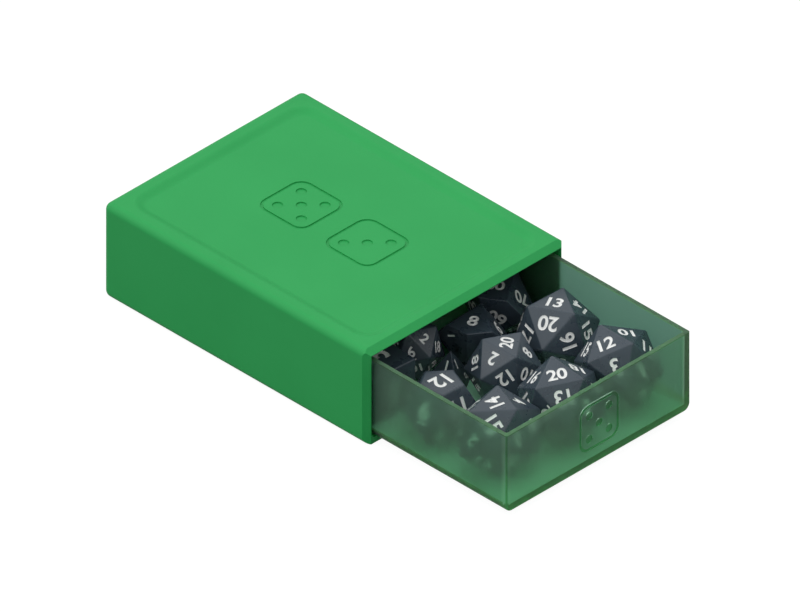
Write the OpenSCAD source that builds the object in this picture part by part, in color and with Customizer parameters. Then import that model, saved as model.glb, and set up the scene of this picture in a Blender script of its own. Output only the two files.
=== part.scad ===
// Dice storage chest: an opaque one-piece sleeve with a frosted see-through drawer,
// standing half open with a set of loose dice in it.
// X runs along the drawer's travel with the mouth at +X, Y across the width, Z up.
// The origin is the centre of the sleeve's underside.

/* [Sleeve] */
// Length of the sleeve from its closed back to its mouth
sleeve_length = 100; // [86:1:160]
// Width of the sleeve
sleeve_width = 75.6; // [74.6:0.2:120]
// Height of the sleeve
sleeve_height = 30.6; // [29.2:0.2:50]
// Thickness of the sleeve's walls
sleeve_wall = 1.9; // [1.2:0.1:2.3]
// Radius along the long edges and across the top and bottom of the back
edge_round = 2.2; // [0.8:0.1:3]
// Radius on the upright edges of the back
back_round = 1.6; // [0.6:0.1:3]
// Flat land left between the bevel round the mouth and the bay
mouth_land = 0.2; // [0.1:0.1:1]
// Radius along the two lower corners of the bay
bay_corner = 1.6; // [0.4:0.1:2]

/* [Top panel] */
// Width of the flat rim that frames the sunken panel
panel_rim = 1.8; // [0.8:0.1:5]
// Width of the slope from the rim down to the panel
panel_slope = 3.4; // [0.5:0.1:6]
// Depth of the panel below the rim
panel_depth = 1; // [0.4:0.1:2]
// Corner radius of the panel at the foot of the slope
panel_corner = 3; // [1:0.5:10]

/* [Drawer] */
// Gap between each side wall of the sleeve and a centred drawer
side_gap = 1.1; // [0.6:0.1:2]
// How far the loose drawer has shifted to one side, as a share of the side gap
drawer_lean = -0.34; // [-0.5:0.02:0.5]
// Gap between the drawer's rim and the ceiling of the bay
rim_gap = 0.6; // [0.3:0.1:1.5]
// Gap left behind the drawer when it is shut
rear_gap = 0.5; // [0.3:0.1:3]
// How far the drawer stands out of the sleeve
drawer_pull = 50.4; // [0:0.1:60]
// Thickness of the drawer's walls at the rim
drawer_wall = 1.2; // [0.8:0.1:1.6]
// How much thicker the walls are at the floor
drawer_draft = 0.2; // [0.1:0.1:0.6]
// Thickness of the drawer's floor
drawer_floor = 1.4; // [0.8:0.1:2.5]
// Radius on the upright outer edges of the drawer
drawer_corner = 0.5; // [0.2:0.1:1.5]
// Radius along the two long outer bottom edges of the drawer
drawer_foot = 2.2; // [0.3:0.1:2.4]
// Radius on the bottom edges of the drawer's front and back
drawer_toe = 0.4; // [0.2:0.1:1.2]

/* [Guides] */
// Height of the guide rib at the foot of each side wall
guide_height = 3; // [1.5:0.5:10]
// Running clearance between a guide rib and the drawer
guide_clearance = 0.3; // [0.15:0.05:0.5]
// Distance from the mouth back to the start of the guide ribs
guide_setback = 6; // [2:1:30]

/* [Push hole] */
// Diameter of the thumb hole through the back, for pushing the drawer out
push_hole_d = 18; // [10:1:22]

/* [Marks] */
// Side of each die face sunk into the top panel
top_mark = 18; // [8:1:24]
// Gap between the two die faces on the top panel
top_mark_gap = 7; // [2:1:14]
// Side of the die face sunk into the drawer's front
front_mark = 15; // [6:1:20]
// Width of the sunk outline of a die face
mark_line = 0.9; // [0.5:0.1:1.5]
// Depth of the sunk marks
mark_depth = 0.35; // [0.2:0.05:0.6]

/* [Dice] */
// Inside width of the drawer that the set of dice is made for
set_width = 66.8; // [50:0.2:67]
// Inside height of the drawer that the set of dice is made for
set_height = 23.8; // [18:0.2:24]
// Size of the large twenty-sided dice, face to face
d20_size = 20; // [14:0.5:20]
// Size of the middle twenty-sided die, face to face
middle_d20_size = 17.5; // [10:0.5:17.5]
// Size of the small twenty-sided die, face to face
small_d20_size = 14.5; // [9:0.5:15]
// Size of the twelve-sided die, face to face
d12_size = 17; // [10:0.5:17]
// Size of the ten-sided die marked in tens, face to face
tens_size = 15; // [9:0.5:15]
// Size of the ten-sided die marked in units, face to face
units_size = 14; // [9:0.5:14]
// Size of the six-sided die
d6_size = 15; // [9:0.5:15.5]
// Edge length of the four-sided die
d4_edge = 15; // [9:0.5:15]
// How much is rounded off each corner of a twenty-sided die
corner_blunt = 0.35; // [0.1:0.05:0.6]
// How much is cut off the two tips of a ten-sided die
tip_blunt = 0.4; // [0.1:0.1:1]
// Gap between each die and the drawer's floor
die_seat = 0.1; // [0.05:0.05:0.3]

/* [Hidden] */
$fn = 48;
overrun = 0.4;

// Finishes
opaque_green = [0.25, 0.64, 0.37];
frosted_green = [0.30, 0.56, 0.40, 0.55];
charcoal = [0.20, 0.22, 0.26];

// Sleeve
back_x = -sleeve_length / 2;
mouth_x = sleeve_length / 2;
side_y = sleeve_width / 2;
mouth_bevel = sleeve_wall - mouth_land;
porch_length = mouth_bevel + panel_rim;
ceiling_z = sleeve_height - panel_depth - sleeve_wall;
bay_width = sleeve_width - 2 * sleeve_wall;
thinnest_rib = 0.1;

// Drawer
drawer_length = sleeve_length - sleeve_wall - rear_gap;
drawer_width = bay_width - 2 * side_gap;
drawer_height = ceiling_z - rim_gap - sleeve_wall;
drawer_y = drawer_lean * side_gap;
inside_width = drawer_width - 2 * (drawer_wall + drawer_draft);
inside_height = drawer_height - drawer_floor;
front_x = mouth_x + drawer_pull;
floor_z = sleeve_wall + drawer_floor;

// Dice. A smaller drawer takes a smaller set. Each place is a share of the large die's size, back
// from the inside of the drawer's front, and a share of the inside width, across from its middle
set_scale = min(inside_width / set_width, inside_height / set_height);
pile_x = front_x - drawer_wall;
pile_pitch = d20_size * set_scale;
front_left_share = [0.745, -0.3165];
front_middle_share = [0.665, 0.0036];
front_right_share = [0.68, 0.3336];
middle_share = [1.82, 0.0263];
right_share = [1.86, 0.3336];
small_share = [3.095, -0.1067];
d12_share = [1.82, -0.3313];
tens_share = [3, 0.3563];
units_share = [2.705, 0.1287];
d4_share = [2.48, -0.0771];
front_left_turn = [14, -29, 151];
front_middle_turn = [13, -34, 169];
front_right_turn = [-2, -29, 178];
middle_turn = [-24, -35, -160];
right_turn = [23, -28, 136];
small_turn = [27, 12, 0];
d12_turn = -4;
tens_turn = -82;
units_turn = -60;
d6_turn = -4;
d4_turn = 92;

// The six-sided die lies just clear of the left wall
d6_wall_gap = 1.07;
d6_reach = d6_size * (cos(d6_turn) - sin(d6_turn)) / 2;
d6_share = [2.93, (d6_reach * set_scale + d6_wall_gap) / inside_width - 0.5];

// Angles of the faces of each die from its axis
fifth = 360 / 5;
third = 360 / 3;
d20_cap_tilt = acos(sqrt((5 + 2 * sqrt(5)) / 15));
d20_belt_tilt = acos(sqrt((5 - 2 * sqrt(5)) / 15));
d12_tilt = atan(2);
d10_tilt = 45;
d4_tilt = acos(1 / 3);

// Pattern of a die face
pip_pitch_share = 0.25;
pip_radius_share = 0.085;
mark_corner_share = 0.22;
three_pips = [[-1, -1], [0, 0], [1, 1]];
five_pips = [[-1, -1], [-1, 1], [0, 0], [1, -1], [1, 1]];

// Corner points of a twenty-sided die with its poles on Z, at a distance of 1 from the centre
d20_ring = asin(1 / sqrt(5));
d20_corners = concat(
    [[0, 0, 1], [0, 0, -1]],
    [for (i = [0:4]) [cos(d20_ring) * cos(fifth * i), cos(d20_ring) * sin(fifth * i), sin(d20_ring)]],
    [for (i = [0:4]) [cos(d20_ring) * cos(fifth * (i + 0.5)), cos(d20_ring) * sin(fifth * (i + 0.5)), -sin(d20_ring)]]
);
golden = (1 + sqrt(5)) / 2;
d20_corner_share = sqrt(golden * sqrt(5)) / 2 / (golden * golden / sqrt(3));

// Height of a point above the centre once the die is turned
function turned_z(p, turn) = cos(turn[1]) * (sin(turn[0]) * p[1] + cos(turn[0]) * p[2]) - sin(turn[1]) * p[0];

// Distance from the centre of a turned twenty-sided die down to its lowest corner
function d20_drop(size, turn) = -min([for (p = d20_corners) turned_z(p, turn)]) * size * d20_corner_share;

// Rectangle with its low corner at the origin and all four corners rounded
module round_rect(long, wide, radius) {
    translate([radius, 0]) square([long - 2 * radius, wide]);
    translate([0, radius]) square([long, wide - 2 * radius]);
    for (x = [radius, long - radius], y = [radius, wide - radius])
        translate([x, y]) circle(r = radius);
}

// Outline in Y and Z carried along X, from x = 0
module along_x(length) {
    rotate([90, 0, 90]) linear_extrude(length) children();
}

// Outline in X and Z carried along Y, from y = 0
module along_y(length) {
    translate([0, length, 0]) rotate([90, 0, 0]) linear_extrude(length) children();
}

// Sleeve's outer block with the mouth still square, from the closed back at x = 0
module sleeve_block() {
    intersection() {
        along_x(sleeve_length) round_rect(sleeve_width, sleeve_height, edge_round);
        along_y(sleeve_width) round_rect(sleeve_length + edge_round, sleeve_height, edge_round);
        linear_extrude(sleeve_height) round_rect(sleeve_length + back_round, sleeve_width, back_round);
    }
}

// Square bars on edge that bevel the top and the two upright outer edges of the mouth
module mouth_bevel_cuts() {
    bar = mouth_bevel * sqrt(2);
    translate([mouth_x, 0, sleeve_height]) rotate([0, 45, 0])
        cube([bar, sleeve_width + overrun, bar], center = true);
    for (y = [-side_y, side_y])
        translate([mouth_x, y, sleeve_height / 2]) rotate([0, 0, 45])
            cube([bar, bar, sleeve_height + overrun], center = true);
}

// Bay that takes the drawer, higher in the porch just behind the mouth
module bay() {
    porch_x = mouth_x - porch_length;
    bay_height = ceiling_z - sleeve_wall;
    translate([back_x + sleeve_wall, -bay_width / 2, sleeve_wall])
        along_x(sleeve_length)
            intersection() {
                round_rect(bay_width, bay_height + bay_corner, bay_corner);
                square([bay_width, bay_height]);
            }
    translate([porch_x, -bay_width / 2, ceiling_z - overrun])
        cube([sleeve_length, bay_width, sleeve_height - sleeve_wall - ceiling_z + overrun]);
}

// Sunken panel of the top, with a sloped border and rounded corners
module panel_cut() {
    low_x = back_x + edge_round + panel_rim + panel_slope + panel_corner;
    high_x = mouth_x - porch_length - panel_slope - panel_corner;
    reach_y = side_y - edge_round - panel_rim - panel_slope - panel_corner;
    widening = panel_slope * (panel_depth + overrun) / panel_depth;
    hull()
        for (x = [low_x, high_x], y = [-reach_y, reach_y])
            translate([x, y, sleeve_height - panel_depth])
                cylinder(h = panel_depth + overrun, r1 = panel_corner, r2 = panel_corner + widening, $fn = 32);
}

// Die face of sunken pips in a rounded frame, centred, cutting down to z = 0
module die_face(size, pips) {
    corner = size * mark_corner_share;
    pitch = size * pip_pitch_share;
    inner = size - 2 * mark_line;
    linear_extrude(mark_depth + overrun)
        difference() {
            translate([-size / 2, -size / 2]) round_rect(size, size, corner);
            translate([-inner / 2, -inner / 2]) round_rect(inner, inner, corner - mark_line);
        }
    for (p = pips)
        translate([pitch * p[0], pitch * p[1], 0]) cylinder(h = mark_depth + overrun, r = size * pip_radius_share);
}

module top_marks() {
    shift = (top_mark + top_mark_gap) / 2;
    panel_z = sleeve_height - panel_depth;
    translate([-shift, 0, panel_z - mark_depth]) die_face(top_mark, five_pips);
    translate([shift, 0, panel_z - mark_depth]) die_face(top_mark, three_pips);
}

// Low ribs at the foot of the side walls, which guide the drawer and leave room for its shift
module guides() {
    rib = max(side_gap - abs(drawer_y) - guide_clearance, thinnest_rib);
    run = sleeve_length - sleeve_wall - guide_setback;
    for (side = [-1, 1])
        translate([back_x + sleeve_wall, side * (bay_width - rib) / 2 - rib / 2, sleeve_wall])
            cube([run, rib, guide_height]);
}

// Opaque one-piece sleeve, closed at the back
module sleeve() {
    color(opaque_green) {
        difference() {
            translate([back_x, -side_y, 0]) sleeve_block();
            bay();
            mouth_bevel_cuts();
            panel_cut();
            top_marks();
            translate([back_x - overrun, 0, sleeve_height / 2]) rotate([0, 90, 0])
                cylinder(h = sleeve_wall + 2 * overrun, d = push_hole_d);
        }
        guides();
    }
}

// Drawer's outer block, from its back at x = 0
module drawer_block() {
    intersection() {
        linear_extrude(drawer_height) round_rect(drawer_length, drawer_width, drawer_corner);
        along_x(drawer_length) round_rect(drawer_width, drawer_height + drawer_foot, drawer_foot);
        along_y(drawer_width) round_rect(drawer_length, drawer_height + drawer_toe, drawer_toe);
    }
}

// Side view of the drawer's hollow, wider at the rim, from its outer end at 0
module hollow_outline(outer) {
    rim = drawer_wall;
    foot = drawer_wall + drawer_draft;
    slope = drawer_draft / (drawer_height - drawer_floor);
    flare = slope * overrun;
    polygon([
        [foot, drawer_floor],
        [outer - foot, drawer_floor],
        [outer - rim + flare, drawer_height + overrun],
        [rim - flare, drawer_height + overrun]
    ]);
}

module drawer_hollow() {
    intersection() {
        along_x(drawer_length) hollow_outline(drawer_width);
        along_y(drawer_width) hollow_outline(drawer_length);
    }
}

// Frosted see-through drawer, one moulding with thin drafted walls
module drawer() {
    color(frosted_green)
        difference() {
            translate([front_x - drawer_length, drawer_y - drawer_width / 2, sleeve_wall])
                difference() {
                    drawer_block();
                    drawer_hollow();
                }
            translate([front_x - mark_depth, 0, sleeve_wall + drawer_height / 2])
                rotate([90, 0, 90]) die_face(front_mark, five_pips);
        }
}

// Slab between a pair of opposite faces of a die
module slab(size, tilt, heading) {
    rotate([0, tilt, heading]) cube([2 * size, 2 * size, size], center = true);
}

// Twenty-sided die standing on a corner or an edge, with its corners rounded by a ball
module twenty_sided(size, turn) {
    translate([0, 0, d20_drop(size, turn)]) rotate(turn)
        intersection() {
            sphere(r = size * d20_corner_share - corner_blunt);
            intersection_for (i = [0:4])
                intersection() {
                    slab(size, d20_cap_tilt, fifth * (i + 0.5));
                    slab(size, d20_belt_tilt, fifth * (i + 0.5));
                }
        }
}

// Twelve-sided die lying on one of its faces
module twelve_sided(size, turn) {
    translate([0, 0, size / 2]) rotate([0, 0, turn])
        intersection() {
            slab(size, 0, 0);
            intersection_for (i = [0:4]) slab(size, d12_tilt, fifth * i);
        }
}

// Ten-sided die lying on one of its faces, with its two tips blunted
module ten_sided(size, turn) {
    blunt_length = size / cos(d10_tilt) - 2 * tip_blunt;
    translate([0, 0, size / 2]) rotate([0, -d10_tilt, turn])
        intersection() {
            cube([2 * size, 2 * size, blunt_length], center = true);
            intersection_for (i = [0:4]) slab(size, d10_tilt, fifth * i);
        }
}

// Four-sided die, cut from a slab of its own height by three sloping faces
module four_sided(edge, turn) {
    tall = edge * sqrt(2 / 3);
    rotate([0, 0, turn])
        intersection() {
            translate([-edge, -edge, 0]) cube([2 * edge, 2 * edge, 2 * tall]);
            intersection_for (i = [0:2])
                translate([0, 0, tall / 4]) rotate([0, d4_tilt, third * (i + 0.5)])
                    translate([-2 * edge, -2 * edge, tall / 4 - 4 * edge]) cube(4 * edge);
        }
}

// Places a die on the drawer's floor
module in_drawer(share) {
    color(charcoal)
        translate([pile_x - share[0] * pile_pitch, drawer_y + share[1] * inside_width, floor_z + die_seat])
            scale(set_scale) children();
}

module d20_front_left() { in_drawer(front_left_share) twenty_sided(d20_size, front_left_turn); }
module d20_front_middle() { in_drawer(front_middle_share) twenty_sided(d20_size, front_middle_turn); }
module d20_front_right() { in_drawer(front_right_share) twenty_sided(d20_size, front_right_turn); }
module d20_middle() { in_drawer(middle_share) twenty_sided(middle_d20_size, middle_turn); }
module d20_right() { in_drawer(right_share) twenty_sided(d20_size, right_turn); }
module d20_small() { in_drawer(small_share) twenty_sided(small_d20_size, small_turn); }
module d12() { in_drawer(d12_share) twelve_sided(d12_size, d12_turn); }
module d10_tens() { in_drawer(tens_share) ten_sided(tens_size, tens_turn); }
module d10_units() { in_drawer(units_share) ten_sided(units_size, units_turn); }
module d6() { in_drawer(d6_share) translate([0, 0, d6_size / 2]) rotate([0, 0, d6_turn]) cube(d6_size, center = true); }
module d4() { in_drawer(d4_share) four_sided(d4_edge, d4_turn); }

sleeve();
drawer();
d20_front_left();
d20_front_middle();
d20_front_right();
d20_middle();
d20_right();
d20_small();
d12();
d10_tens();
d10_units();
d6();
d4();
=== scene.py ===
"""A dice storage chest: an opaque sleeve, a frosted drawer half out of it and a set of loose dice.

Sizes are in metres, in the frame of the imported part: X along the drawer's travel with the mouth
at +X, Y across the width, Z up, and the origin at the centre of the sleeve's underside.
"""

import logging
import math
from dataclasses import dataclass, field
from enum import Enum

import bmesh
import bpy
from mathutils import Euler, Matrix, Vector


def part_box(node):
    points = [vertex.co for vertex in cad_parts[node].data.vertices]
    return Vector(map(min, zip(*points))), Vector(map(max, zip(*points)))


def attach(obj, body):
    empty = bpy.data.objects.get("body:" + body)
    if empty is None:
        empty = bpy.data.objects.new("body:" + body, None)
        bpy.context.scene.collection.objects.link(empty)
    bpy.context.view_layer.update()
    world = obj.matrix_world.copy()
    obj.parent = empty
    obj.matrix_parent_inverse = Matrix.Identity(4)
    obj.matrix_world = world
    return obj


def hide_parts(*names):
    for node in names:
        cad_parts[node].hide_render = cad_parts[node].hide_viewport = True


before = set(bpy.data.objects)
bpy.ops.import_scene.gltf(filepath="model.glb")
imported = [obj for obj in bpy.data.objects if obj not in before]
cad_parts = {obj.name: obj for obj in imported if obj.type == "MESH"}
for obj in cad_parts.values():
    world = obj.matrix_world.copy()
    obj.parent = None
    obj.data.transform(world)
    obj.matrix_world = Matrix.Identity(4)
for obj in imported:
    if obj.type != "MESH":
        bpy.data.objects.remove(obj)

LOG = logging.getLogger("dice_chest")
MM = 0.001
# How far a cutting shape runs past the surface that it cuts
OVERRUN = 0.4 * MM
# Distance within which two places count as one, and within which points are welded
SNAP, WELD = 1e-6, 1e-7
# Distance between unit directions that count as one
NEARLY = 0.01
Triple = tuple[float, float, float]
Point = Vector | Triple
# The two ends of a soft step
Band = tuple[float, float]
# A number and its turn in degrees
Label = tuple[str, float]
# Part of a noise pattern's strength that is stretched into soft clouds
CLOUDY: Band = (0.3, 0.7)


class Value:
    """A number that varies over a surface: one output of a shader node."""

    def __init__(self, board: "NodeBoard", socket: bpy.types.NodeSocket) -> None:
        """Keeps the socket and the board that its further nodes go on."""
        self.board = board
        self.socket = socket

    def maths(self, operation: str, *terms: "Value | float") -> "Value":
        """Joins terms with one Math node.

        Args:
            operation: The Math node's operation.
            *terms: Its inputs, in order.

        Returns:
            The node's result.
        """
        node = self.board.add("ShaderNodeMath", {"operation": operation}, dict(enumerate(terms)))
        return Value(self.board, node.outputs[0])

    def __add__(self, other: "Value | float") -> "Value":
        """Returns self + other."""
        return self.maths("ADD", self, other)

    def __radd__(self, other: float) -> "Value":
        """Returns other + self."""
        return self.maths("ADD", other, self)

    def __sub__(self, other: "Value | float") -> "Value":
        """Returns self - other."""
        return self.maths("SUBTRACT", self, other)

    def __rsub__(self, other: float) -> "Value":
        """Returns other - self."""
        return self.maths("SUBTRACT", other, self)

    def __mul__(self, other: "Value | float") -> "Value":
        """Returns self * other."""
        return self.maths("MULTIPLY", self, other)

    def __rmul__(self, other: float) -> "Value":
        """Returns other * self."""
        return self.maths("MULTIPLY", other, self)

    def larger(self, other: "Value | float") -> "Value":
        """Returns the larger of self and other."""
        return self.maths("MAXIMUM", self, other)

    def smaller(self, other: "Value | float") -> "Value":
        """Returns the smaller of self and other."""
        return self.maths("MINIMUM", self, other)

    def rise(self, band: Band) -> "Value":
        """Rises smoothly from 0 to 1 across a band.

        Args:
            band: Where the result leaves 0, and where it reaches 1.

        Returns:
            The eased value.
        """
        node = self.board.add(
            "ShaderNodeMapRange",
            {"interpolation_type": "SMOOTHSTEP"},
            {"Value": self, "From Min": band[0], "From Max": band[1]},
        )
        return Value(self.board, node.outputs[0])

    def fade(self, band: Band) -> "Value":
        """Returns 1 before the band and 0 past it, and falls smoothly across it."""
        return 1 - self.rise(band)

    def within(self, bands: tuple[Band, Band]) -> "Value":
        """Returns 1 between two bands and 0 outside them."""
        return self.rise(bands[0]) * self.fade(bands[1])


Source = Value | bpy.types.NodeSocket | float | tuple


class NodeBoard:
    """The node tree of one material."""

    # Numbers of the Mix node's sockets for colours, as each of its names stands for several sockets
    MIX_INPUTS: tuple[int, int, int] = (0, 6, 7)
    MIX_OUTPUT: int = 2

    def __init__(self, name: str) -> None:
        """Starts an empty material called name."""
        self.material = bpy.data.materials.new(name)
        self.material.use_nodes = True
        self.tree = self.material.node_tree
        self.tree.nodes.clear()
        self.place = self.add("ShaderNodeTexCoord").outputs["Object"]

    def add(
        self,
        kind: str,
        settings: dict[str, object] | None = None,
        inputs: dict[str | int, Source] | None = None,
    ) -> bpy.types.Node:
        """Makes one node.

        Args:
            kind: The node's type.
            settings: Its own settings, set first.
            inputs: A value or a link for each of its sockets.

        Returns:
            The node.
        """
        node = self.tree.nodes.new(kind)
        for key, setting in (settings or {}).items():
            setattr(node, key, setting)
        for key, source in (inputs or {}).items():
            if isinstance(source, Value):
                self.tree.links.new(source.socket, node.inputs[key])
            elif isinstance(source, bpy.types.NodeSocket):
                self.tree.links.new(source, node.inputs[key])
            else:
                node.inputs[key].default_value = source
        return node

    def axes(self) -> tuple[Value, Value, Value]:
        """Returns the object's own X, Y and Z as three values, in metres."""
        parts = self.add("ShaderNodeSeparateXYZ", inputs={"Vector": self.place})
        return tuple(Value(self, socket) for socket in parts.outputs)

    def noise(self, size: float, detail: float = 2.0, stretch: Triple = (1, 1, 1)) -> Value:
        """A noise pattern on the object's own coordinates.

        Args:
            size: Width of one blotch in metres.
            detail: How many finer layers it has.
            stretch: How much finer it is along each axis.

        Returns:
            Its strength, from 0 to 1 and mostly near 0.5.
        """
        place = self.add("ShaderNodeMapping", inputs={"Vector": self.place, "Scale": stretch})
        node = self.add(
            "ShaderNodeTexNoise",
            inputs={"Vector": place.outputs[0], "Scale": 1 / size, "Detail": detail},
        )
        return Value(self, node.outputs["Fac"])

    def blend(self, factor: Source, first: Source, second: Source) -> bpy.types.NodeSocket:
        """Mixes two colours.

        Args:
            factor: Share of the second colour.
            first: The colour at 0.
            second: The colour at 1.

        Returns:
            The mixed colour.
        """
        inputs = dict(zip(self.MIX_INPUTS, (factor, first, second)))
        node = self.add("ShaderNodeMix", {"data_type": "RGBA"}, inputs)
        return node.outputs[self.MIX_OUTPUT]

    def bump(self, height: Value, distance: float, strength: float) -> bpy.types.NodeSocket:
        """Turns a height pattern into a surface normal.

        Args:
            height: The pattern, from 0 to 1.
            distance: Depth of the pattern in metres.
            strength: Share of that depth that shows.

        Returns:
            The normal.
        """
        node = self.add(
            "ShaderNodeBump", inputs={"Height": height, "Distance": distance, "Strength": strength}
        )
        return node.outputs[0]

    def surface(self, shader: bpy.types.Node) -> bpy.types.Material:
        """Puts a shader on the material's output and returns the material."""
        output = self.add("ShaderNodeOutputMaterial")
        self.tree.links.new(shader.outputs[0], output.inputs["Surface"])
        return self.material


@dataclass(frozen=True)
class MouldedGreen:
    """Opaque green plastic of the sleeve, with a fine satin grain."""

    slot: str = "opaque_green"
    colour: Triple = (0.0275, 0.366, 0.093)
    deep: Triple = (0.0247, 0.35, 0.0875)
    roughness: float = 0.46
    grain_matt: float = 0.1
    flow_matt: float = 0.03
    sheen: float = 0.18
    cloud: float = 26 * MM
    flow: float = 7 * MM
    flow_stretch: Triple = (0.35, 1, 1)
    grain: float = 0.22 * MM
    grain_depth: float = 0.012 * MM
    grain_strength: float = 0.6

    def make(self) -> bpy.types.Material:
        """Returns the material."""
        board = NodeBoard("moulded_green")
        cloud = board.noise(self.cloud, detail=3).rise(CLOUDY)
        grain = board.noise(self.grain, detail=3)
        flow = board.noise(self.flow, stretch=self.flow_stretch)
        uneven = self.grain_matt * (grain - 0.5) + self.flow_matt * (flow - 0.5)
        shader = board.add(
            "ShaderNodeBsdfPrincipled",
            inputs={
                "Base Color": board.blend(cloud, (*self.deep, 1), (*self.colour, 1)),
                "Roughness": self.roughness + uneven,
                "Specular IOR Level": self.sheen,
                "Normal": board.bump(grain, self.grain_depth, self.grain_strength),
            },
        )
        return board.surface(shader)


@dataclass(frozen=True)
class FrostedGreen:
    """Smoky green plastic of the drawer, clear in the mass with a frosted skin.

    Each band is a pair of distances in from one of the drawer's outer faces; painted light and shade follow
    them.
    """

    slot: str = "frosted_green"
    colour: Triple = (0.41, 0.73, 0.54)
    deep: Triple = (0.39, 0.7, 0.515)
    # Painted light: the front wall's tint is lighter, standing in for light scattered in the front wall
    front: Triple = (0.5, 0.83, 0.61)
    # Painted shade: the far wall's tint is darker, standing in for the dim light that comes through it
    far: Triple = (0.21, 0.46, 0.35)
    # Painted light: the rim band is a stronger yellow-green, standing in for the light line along the rim
    edge: Triple = (0.2, 0.62, 0.16)
    # Painted shade: dark olive bands at the foot and at the far end, standing in for light lost in the thick
    # plastic
    slab: Triple = (0.11, 0.34, 0.07)
    # Painted shade: a darker, stronger green in the sunk mark
    groove: Triple = (0.1, 0.6, 0.16)
    # Painted highlight: light lines beside the corners
    glint: Triple = (0.62, 0.96, 0.68)
    # Painted shade: a dark line along the near corner
    fold: Triple = (0.12, 0.46, 0.14)
    milk: Triple = (0.29, 0.55, 0.38)
    # Painted light: the floor inside is a lighter milk, standing in for light on the drawer's floor between
    # the dice
    bed: Triple = (0.46, 0.96, 0.66)
    roughness: float = 0.3
    bending: float = 1.3
    haze: float = 0.09
    # Extra frosted milk on the floor inside, part of its painted light
    floor_haze: float = 0.7
    # Extra frosted milk along the painted highlight lines, part of their painted light
    glint_haze: float = 0.1
    cloud: float = 32 * MM
    cloud_band: Band = (0.1, 0.9)
    grain: float = 0.16 * MM
    grain_depth: float = 0.006 * MM
    grain_strength: float = 0.3
    front_wall: Band = (1.9 * MM, 2.3 * MM)
    front_skin: Band = (0.4 * MM, 0.8 * MM)
    far_wall: Band = (1.5 * MM, 1.7 * MM)
    far_end: Band = (2 * MM, 2.3 * MM)
    side_skin: Band = (1 * MM, 1.2 * MM)
    side_foot: Band = (2.9 * MM, 3.2 * MM)
    front_foot: Band = (2.4 * MM, 2.7 * MM)
    # Band of the painted light on the floor inside
    floor_top: Band = (1.7 * MM, 2.1 * MM)
    rim_edge: Band = (0.2 * MM, 0.5 * MM)
    # Band of the painted shade line at the near corner
    corner_fold: Band = (0.35 * MM, 0.55 * MM)
    # Bands of the painted highlight lines
    near_line: tuple[Band, Band] = ((0.7 * MM, 0.9 * MM), (1.3 * MM, 1.6 * MM))
    far_line: tuple[Band, Band] = ((2.2 * MM, 2.4 * MM), (2.8 * MM, 3 * MM))
    line_top: Band = (0.5 * MM, 0.7 * MM)
    line_foot: Band = (2.3 * MM, 2.7 * MM)
    # Bands of the painted shade in the sunk mark
    mark_floor: tuple[Band, Band] = ((0.1 * MM, 0.2 * MM), (0.5 * MM, 0.6 * MM))
    mark_side: Band = (26.4 * MM, 26.8 * MM)

    def shares(self, board: NodeBoard, low: Vector, high: Vector) -> dict[str, Value]:
        """Finds the bands where light and shade are painted into the drawer's tint.

        Args:
            board: The material's nodes.
            low: Lowest corner of the drawer.
            high: Highest corner of the drawer.

        Returns:
            Shares of the painted shade of the far wall, the painted light of the front, the painted light of
            the rim, the painted shade at the ends of the floor and of the far wall, the painted highlight
            lines beside the corners, the painted shade at the near corner and in the sunk mark, and the
            painted light of the floor.
        """
        x, y, z = board.axes()
        from_front, from_far, from_near = high.x - x, high.y - y, y - low.y
        from_rim, from_foot = high.z - z, z - low.z
        from_side = from_far.smaller(from_near)
        from_corner = from_front.larger(from_near)
        front = from_front.fade(self.front_skin)
        side = from_side.fade(self.side_skin)
        # Bands of painted shade at the far end and along the foot
        far_end = front * from_far.fade(self.far_end)
        front_foot = front * from_foot.fade(self.front_foot)
        side_foot = side * from_foot.fade(self.side_foot)
        # Painted highlight lines beside the near corner and inside the far end's band
        lines = from_corner.within(self.near_line).larger(front * from_far.within(self.far_line))
        return {
            # Painted shade on the far wall
            "far": from_far.fade(self.far_wall),
            # Painted light on the front wall
            "front": from_front.fade(self.front_wall),
            # Painted light along the rim
            "edge": from_rim.fade(self.rim_edge),
            # Painted shade at the foot and at the far end
            "slab": far_end.larger(front_foot).larger(side_foot),
            # Painted highlight lines
            "glint": lines * from_rim.rise(self.line_top) * from_foot.rise(self.line_foot),
            # Painted shade line at the near corner
            "fold": from_corner.fade(self.corner_fold),
            # Painted shade in the sunk mark
            "groove": from_front.within(self.mark_floor) * from_side.rise(self.mark_side),
            # Painted light on the floor inside
            "floor": from_foot.fade(self.floor_top) * (1 - front.larger(side)),
        }

    def make(self, low: Vector, high: Vector) -> bpy.types.Material:
        """Makes the material of a drawer that reaches from one corner to another.

        Args:
            low: Lowest corner of the drawer.
            high: Highest corner of the drawer.

        Returns:
            The material.
        """
        board = NodeBoard("frosted_green")
        cloud = board.noise(self.cloud, detail=0).rise(self.cloud_band)
        grain = board.noise(self.grain)
        shares = self.shares(board, low, high)
        tint = board.blend(cloud, (*self.deep, 1), (*self.colour, 1))
        # Painted light and shade laid over the tint, one band at a time
        layers = {
            "far": self.far,
            "front": self.front,
            "edge": self.edge,
            "slab": self.slab,
            "glint": self.glint,
            "fold": self.fold,
            "groove": self.groove,
        }
        for name, colour in layers.items():
            tint = board.blend(shares[name], tint, (*colour, 1))
        kind = "ShaderNodeBsdfPrincipled"
        common = {"Roughness": self.roughness, "IOR": self.bending}
        clear = board.add(kind, inputs={"Base Color": tint, "Transmission Weight": 1.0, **common})
        # The floor inside takes the lighter milk: painted light
        body = board.blend(shares["floor"], (*self.milk, 1), (*self.bed, 1))
        frost = board.bump(grain, self.grain_depth, self.grain_strength)
        milk = board.add(kind, inputs={"Base Color": body, "Normal": frost, **common})
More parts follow.
